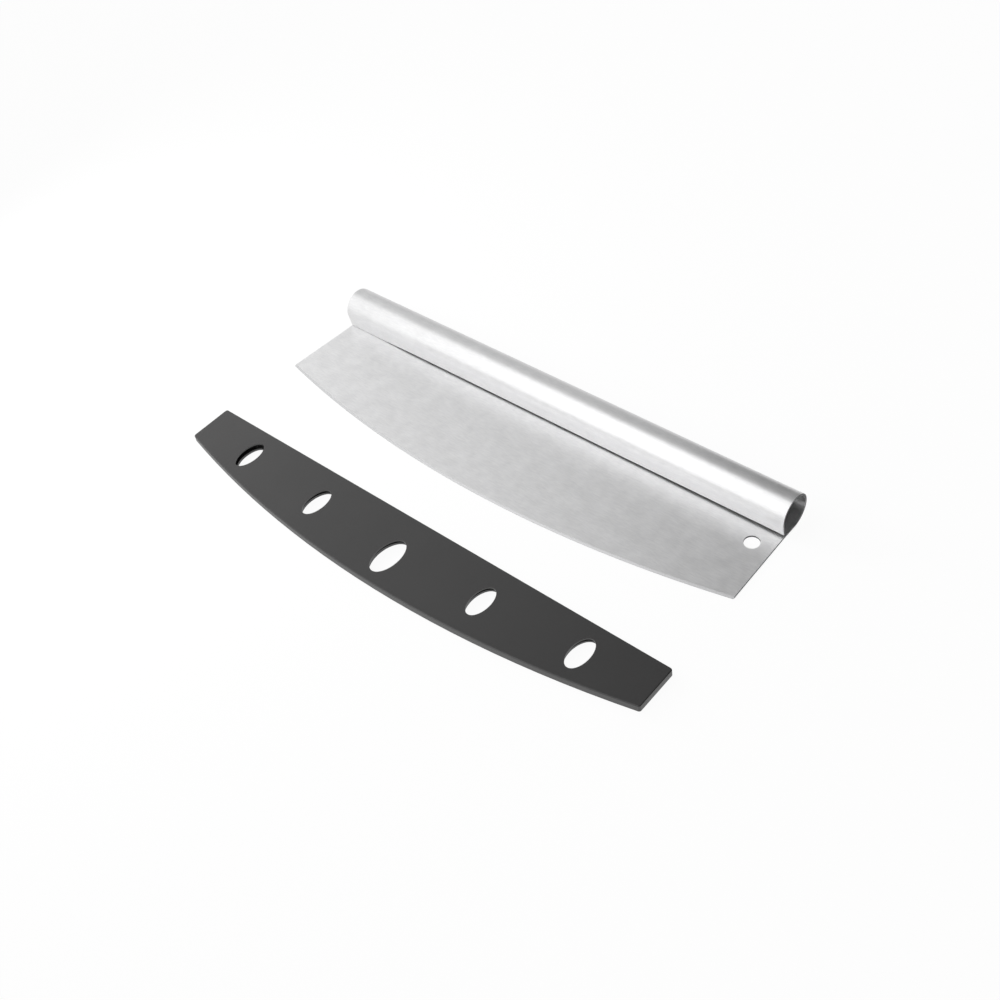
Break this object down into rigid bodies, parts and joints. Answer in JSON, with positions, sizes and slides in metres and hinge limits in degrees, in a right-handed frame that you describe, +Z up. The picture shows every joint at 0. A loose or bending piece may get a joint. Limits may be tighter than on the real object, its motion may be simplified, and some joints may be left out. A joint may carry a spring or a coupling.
{
  "type": "rocking pizza knife",
  "caption": "Rocking pizza knife rolled from sheet steel, with a long curved edge and an open tube handle, and a slip-on moulded blade guard with oval windows.",
  "frame": {"origin": "on the table, below the middle of the box round the knife and its guard as they lie", "axes": "+X along the handle towards the end with the hanging hole, +Y from the guard towards the handle, +Z up from the table"},
  "size_m": [0.3552, 0.181, 0.0234],
  "materials": {
    "brushed_steel": "brushed along the handle",
    "guard_plastic": "fine satin, as moulded"
  },
  "bodies": {
    "guard": {"blade_guard": "guard_plastic"},
    "knife": {"rolled_knife": "brushed_steel"}
  },
  "joints": [
    {"name": "knife_into_guard", "type": "slide", "parent": "guard", "child": "knife", "axis": [0, -0.9995, 0.0309], "range_m": [0, 0.08417]}
  ]
}
